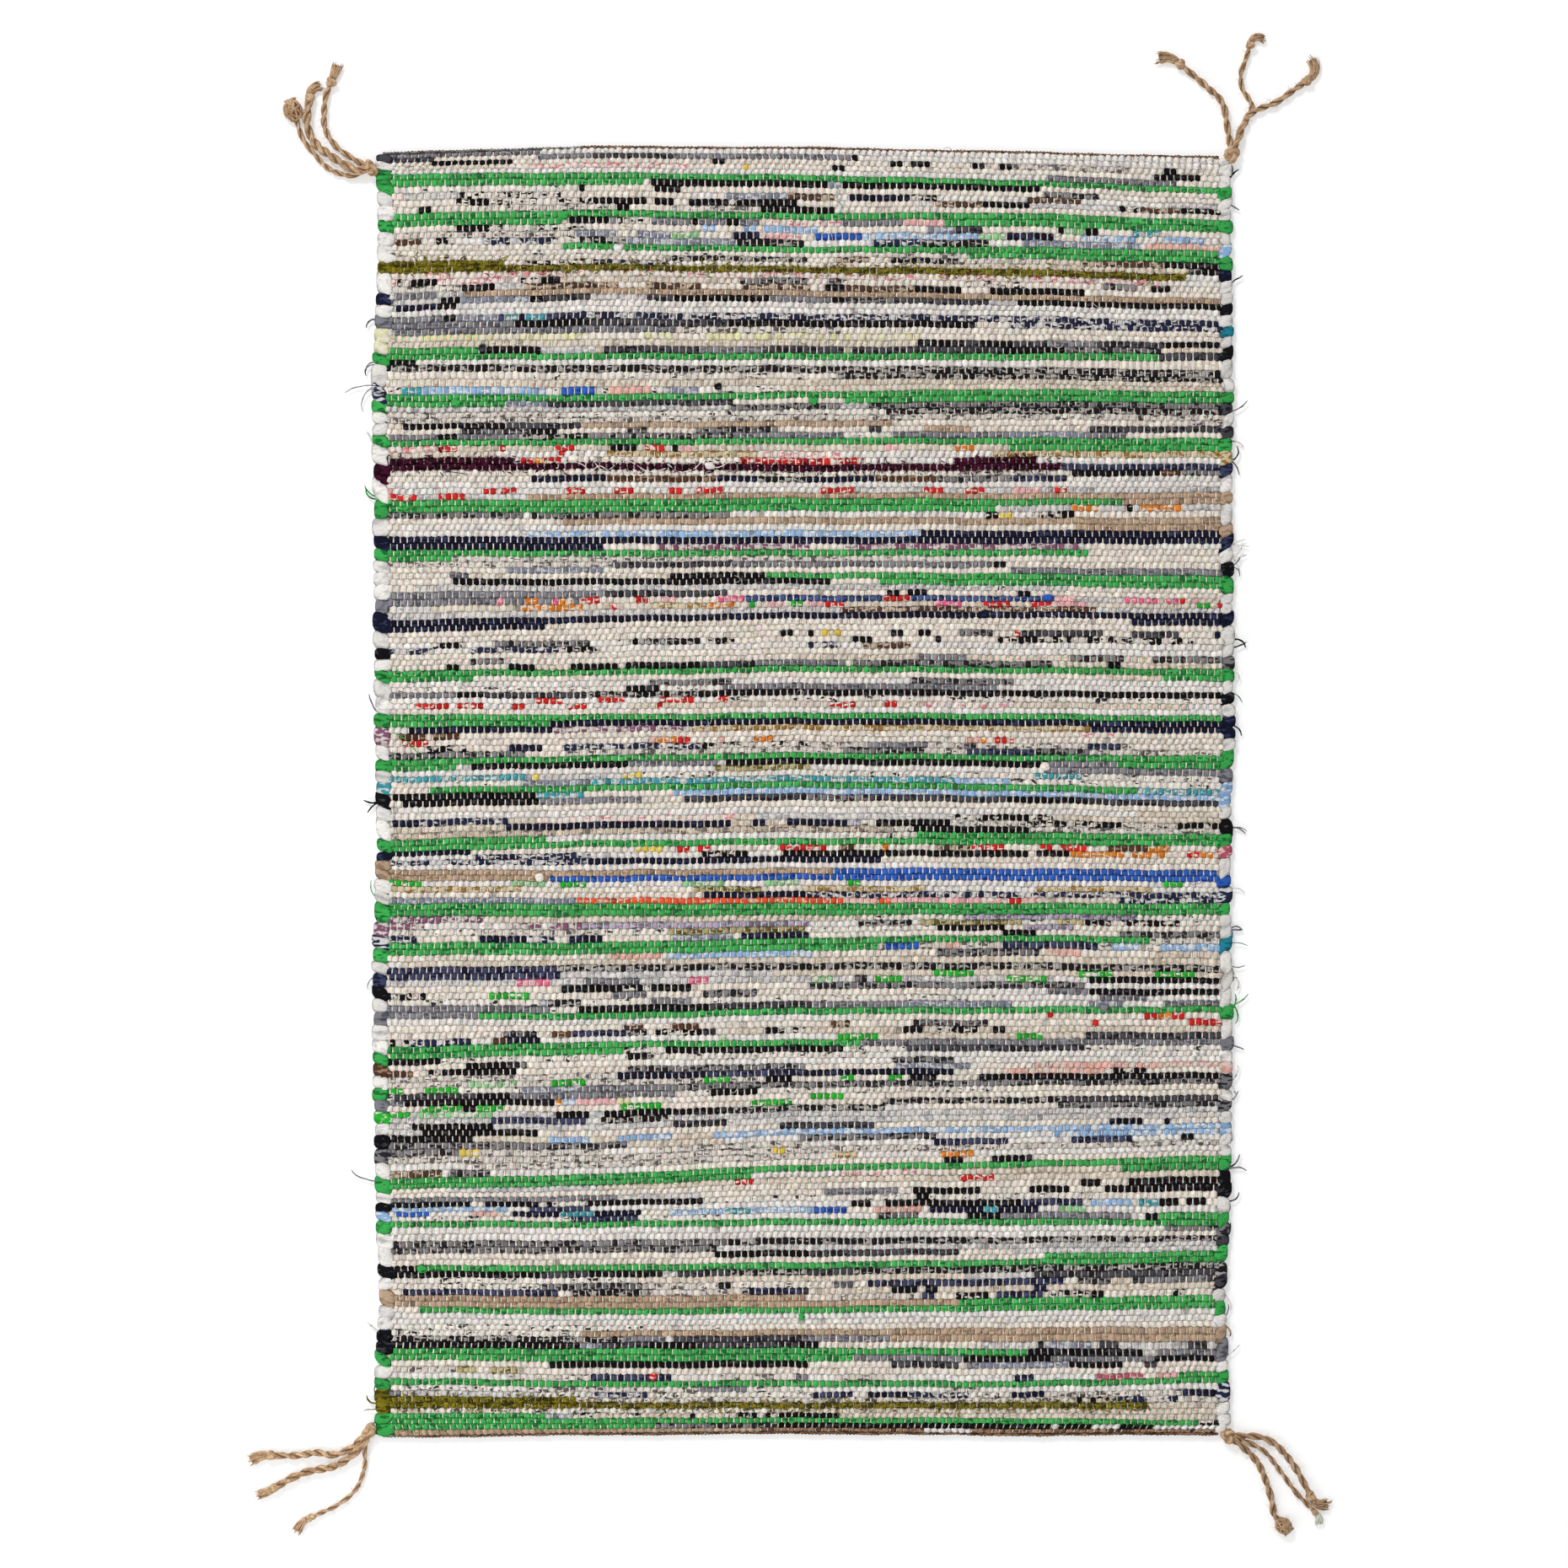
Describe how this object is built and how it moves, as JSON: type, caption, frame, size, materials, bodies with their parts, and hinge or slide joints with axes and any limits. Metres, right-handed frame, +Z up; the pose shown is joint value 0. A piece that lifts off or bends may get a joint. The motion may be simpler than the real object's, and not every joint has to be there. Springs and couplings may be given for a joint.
{
  "type": "rag rug with corner tassels",
  "caption": "Flat hand-woven rag rug with uneven striped picks, looped rag edges and knotted jute tassels at its corners.",
  "frame": {"origin": "middle of the rug's flat underside, on the floor it lies on", "axes": "+X across the rug along its picks, +Y along its length, +Z up through its thickness"},
  "size_m": [0.7557, 1.056, 0.0097],
  "materials": {
    "rag_weave": "matte woven cotton rags",
    "jute": "matte twisted jute"
  },
  "bodies": {
    "root": {"rug": "rag_weave", "tassel_top_left": "jute", "tassel_top_right": "jute", "tassel_bottom_left": "jute", "tassel_bottom_right": "jute"}
  },
  "joints": []
}
